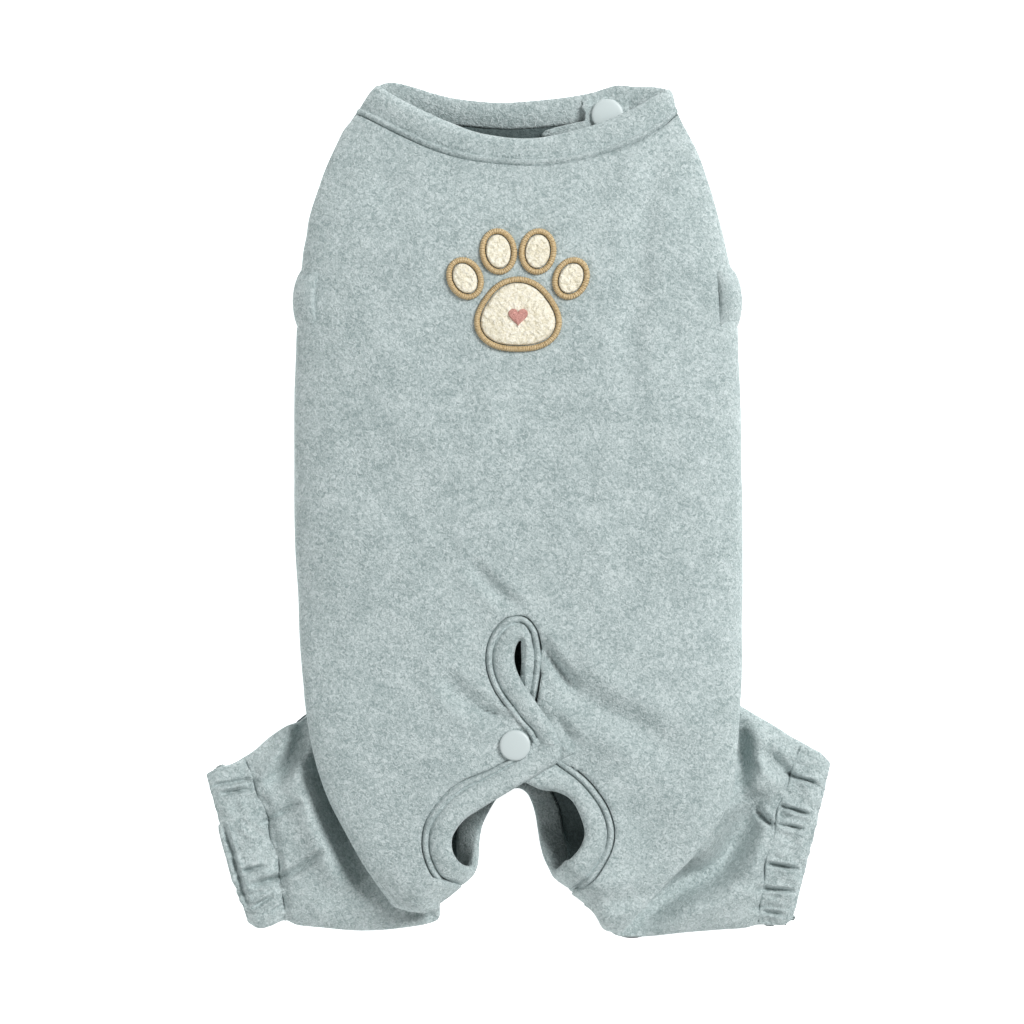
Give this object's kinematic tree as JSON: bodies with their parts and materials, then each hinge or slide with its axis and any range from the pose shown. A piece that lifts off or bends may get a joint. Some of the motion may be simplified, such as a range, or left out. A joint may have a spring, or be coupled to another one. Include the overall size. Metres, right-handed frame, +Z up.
{
  "type": "dog jumpsuit",
  "caption": "Sleeveless plush fleece jumpsuit for a small dog, lying flat with gathered trouser cuffs, bound tail hole and paw patch.",
  "frame": {"origin": "middle of the jumpsuit's length and width, on the surface that it lies on", "axes": "+Y along the back towards the neck, +Z up out of the back, +X towards the wearer's right when seen from above with the neck up"},
  "size_m": [0.2496, 0.3416, 0.0358],
  "materials": {
    "fleece": "short-pile plush fleece",
    "binding": "folded plush fleece band",
    "snap": "satin moulded plastic",
    "patch_plush": "cream plush",
    "patch_thread": "satin-stitched thread",
    "patch_pink": "pink thread"
  },
  "bodies": {
    "root": {"back_panel": "fleece", "belly_panel": "fleece", "neck_band": "binding", "neck_tab": "binding", "neck_snap": "snap", "arm_band_left": "binding", "arm_band_right": "binding", "tail_binding": "binding", "tail_underlap": "fleece", "tail_snap": "snap", "crotch_binding": "binding", "hind_leg_left": "fleece", "hind_leg_right": "fleece", "leg_cuff_left": "fleece", "leg_cuff_right": "fleece", "patch_pad": "patch_plush", "patch_heart": "patch_pink", "patch_toe_1": "patch_plush", "patch_toe_2": "patch_plush", "patch_toe_3": "patch_plush", "patch_toe_4": "patch_plush", "patch_border_pad": "patch_thread", "patch_border_toe_1": "patch_thread", "patch_border_toe_2": "patch_thread", "patch_border_toe_3": "patch_thread", "patch_border_toe_4": "patch_thread"}
  },
  "joints": []
}
